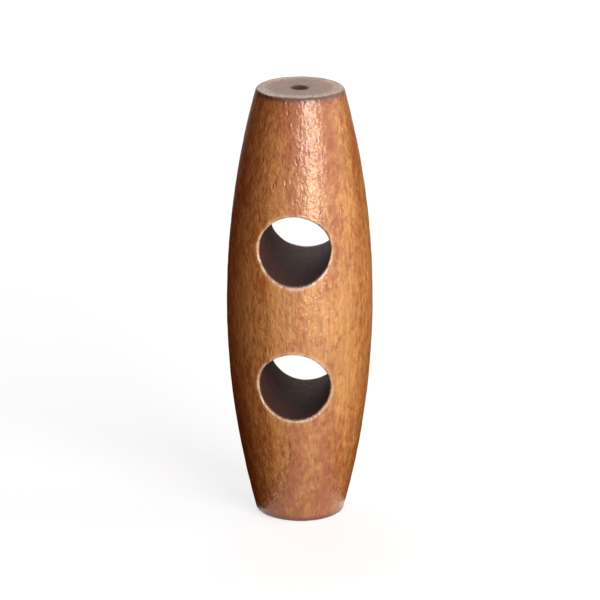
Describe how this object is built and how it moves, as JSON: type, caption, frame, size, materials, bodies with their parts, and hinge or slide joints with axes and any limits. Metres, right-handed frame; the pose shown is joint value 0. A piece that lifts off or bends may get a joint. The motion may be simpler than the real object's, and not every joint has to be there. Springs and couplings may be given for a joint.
{
  "type": "wooden toggle button",
  "caption": "Barrel-shaped toggle button turned from one stick of stained, lacquered wood, with cord holes bored right through it and flat sawn ends.",
  "frame": {"origin": "middle of the lower sawn end face, on which the button stands", "axes": "+Z along the barrel and its grain, from the lower end to the upper; both cord holes run along Y; X runs across them"},
  "size_m": [0.01, 0.01, 0.03],
  "materials": {
    "stained_wood": "brown stain under satin lacquer"
  },
  "bodies": {
    "root": {"toggle_button": "stained_wood"}
  },
  "joints": []
}
